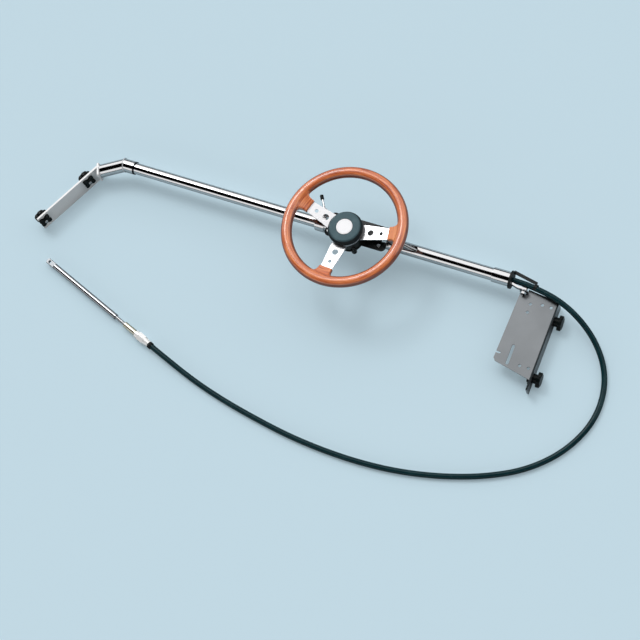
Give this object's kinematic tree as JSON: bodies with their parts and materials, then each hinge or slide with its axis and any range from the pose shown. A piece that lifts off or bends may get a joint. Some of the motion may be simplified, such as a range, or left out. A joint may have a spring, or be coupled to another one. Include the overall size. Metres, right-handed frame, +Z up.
{
  "type": "boat steering bar",
  "caption": "Telescopic stainless steering bar for an inflatable boat, with wood-rimmed wheel, helm, bent clamp arm, hinged control bracket and push-pull steering cable.",
  "frame": {"origin": "on the floor plane z = 0, in the middle of the rigid pieces' plan (everything except the free cable and its end fittings)", "axes": "+X along the bar from the bent arm to the control bracket, +Y away from the side the clamp plates reach to, +Z up along the wheel axis"},
  "size_m": [1.6755, 0.7241, 0.172],
  "materials": {
    "polished_steel": "mirror polished",
    "brushed_steel": "fine brushed",
    "threaded_steel": "plain turned",
    "black_enamel": "semi-gloss enamel",
    "bearing_bronze": "turned",
    "satin_aluminium": "satin",
    "varnished_wood": "glossy varnish",
    "slate_plastic": "fine matte grain",
    "white_badge": "gloss",
    "black_plastic": "semi-gloss moulded",
    "black_rubber": "matte",
    "cable_jacket": "smooth semi-gloss",
    "yellow_zinc": "yellow passivated"
  },
  "bodies": {
    "bar": {"outer_tube": "polished_steel", "end_sleeve": "polished_steel", "end_cap": "black_rubber", "cap_strap": "black_rubber", "tube_clamp": "polished_steel", "clamp_bolt": "polished_steel", "saddle_plate": "black_enamel", "u_bolts": "polished_steel", "u_bolt_nuts": "polished_steel", "helm_housing": "black_enamel", "helm_bush": "bearing_bronze", "helm_screws": "threaded_steel", "conduit": "cable_jacket", "conduit_nut": "polished_steel", "tongue": "polished_steel", "pivot_bolt": "black_plastic", "pivot_nut": "polished_steel", "steering_cable": "cable_jacket", "cable_boot": "black_rubber", "spring_sleeve": "yellow_zinc", "support_tube": "threaded_steel"},
    "lever": {"clamp_lever": "polished_steel", "lever_knob": "black_plastic"},
    "left_arm": {"inner_tube": "polished_steel", "left_collar": "polished_steel", "bent_arm": "polished_steel", "left_clamp_plate": "brushed_steel", "left_studs": "threaded_steel", "left_star_pads": "black_plastic"},
    "wheel": {"steering_shaft": "threaded_steel", "cable_drum": "black_enamel", "hub_boss": "black_enamel", "spoke_plate": "satin_aluminium", "wheel_rim": "varnished_wood", "hub_nut": "threaded_steel", "hub_screws": "threaded_steel", "hub_cap": "slate_plastic", "hub_disc": "white_badge"},
    "bracket": {"control_plate": "brushed_steel", "right_clamp_plate": "brushed_steel", "right_studs": "threaded_steel", "right_star_pads": "black_plastic"},
    "cable_nut": {"cable_nut": "polished_steel"},
    "ram": {"ram": "polished_steel"},
    "left_washer_1": {"left_washer_1": "threaded_steel"},
    "left_knob_1": {"left_knob_1": "black_plastic"},
    "left_washer_2": {"left_washer_2": "threaded_steel"},
    "left_knob_2": {"left_knob_2": "black_plastic"},
    "right_bush_1": {"right_bush_1": "black_plastic"},
    "right_knob_1": {"right_knob_1": "black_plastic"},
    "right_bush_2": {"right_bush_2": "black_plastic"},
    "right_knob_2": {"right_knob_2": "black_plastic"}
  },
  "joints": [
    {"name": "bar_slide", "type": "slide", "parent": "bar", "child": "left_arm", "axis": [1, 0, 0], "range_m": [-0.05, 0.1]},
    {"name": "lever_turn", "type": "hinge", "parent": "bar", "child": "lever", "pos_m": [0.0555, 0.091, 0.07], "axis": [0, 0, 1], "range_deg": [-75, 0]},
    {"name": "wheel_turn", "type": "hinge", "parent": "bar", "child": "wheel", "pos_m": [0.1555, 0.035, 0.159], "axis": [0, 0, 1], "range_deg": [-447, 55]},
    {"name": "bracket_swing", "type": "hinge", "parent": "bar", "child": "bracket", "pos_m": [0.6365, 0.035, 0.054], "axis": [0, 1, 0], "range_deg": [0, 80]},
    {"name": "cable_nut_spin", "type": "hinge", "parent": "bar", "child": "cable_nut", "pos_m": [-0.2754, -0.4001, 0.013], "axis": [-0.9452, 0.3264, 0], "continuous": true},
    {"name": "ram_slide", "type": "slide", "parent": "bar", "child": "ram", "axis": [-0.9452, 0.3264, 0], "range_m": [-0.025, 0.203]},
    {"name": "left_knob_slide_1", "type": "slide", "parent": "left_arm", "child": "left_washer_1", "axis": [-0.8942, 0.4478, 0], "range_m": [0, 0.005]},
    {"name": "left_knob_turn_1", "type": "hinge", "parent": "left_washer_1", "child": "left_knob_1", "pos_m": [-0.65549, -0.00932, 0.036], "axis": [-0.8942, 0.4478, 0], "range_deg": [0, 1440]},
    {"name": "left_knob_slide_2", "type": "slide", "parent": "left_arm", "child": "left_washer_2", "axis": [-0.8942, 0.4478, 0], "range_m": [0, 0.005]},
    {"name": "left_knob_turn_2", "type": "hinge", "parent": "left_washer_2", "child": "left_knob_2", "pos_m": [-0.72937, -0.15685, 0.036], "axis": [-0.8942, 0.4478, 0], "range_deg": [0, 1440]},
    {"name": "right_knob_slide_1", "type": "slide", "parent": "bracket", "child": "right_bush_1", "axis": [1, 0, 0], "range_m": [0, 0.005]},
    {"name": "right_knob_turn_1", "type": "hinge", "parent": "right_bush_1", "child": "right_knob_1", "pos_m": [0.727, -0.003, 0.0215], "axis": [1, 0, 0], "range_deg": [0, 1440]},
    {"name": "right_knob_slide_2", "type": "slide", "parent": "bracket", "child": "right_bush_2", "axis": [1, 0, 0], "range_m": [0, 0.005]},
    {"name": "right_knob_turn_2", "type": "hinge", "parent": "right_bush_2", "child": "right_knob_2", "pos_m": [0.727, -0.163, 0.0215], "axis": [1, 0, 0], "range_deg": [0, 1440]}
  ],
  "couplings": [
    {"joint": "ram_slide", "follows": "wheel_turn", "m_per_rad": -0.026},
    {"joint": "left_knob_slide_1", "follows": "left_knob_turn_1", "m_per_rad": 0.00019894},
    {"joint": "left_knob_slide_2", "follows": "left_knob_turn_2", "m_per_rad": 0.00019894},
    {"joint": "right_knob_slide_1", "follows": "right_knob_turn_1", "m_per_rad": 0.00019894},
    {"joint": "right_knob_slide_2", "follows": "right_knob_turn_2", "m_per_rad": 0.00019894}
  ]
}
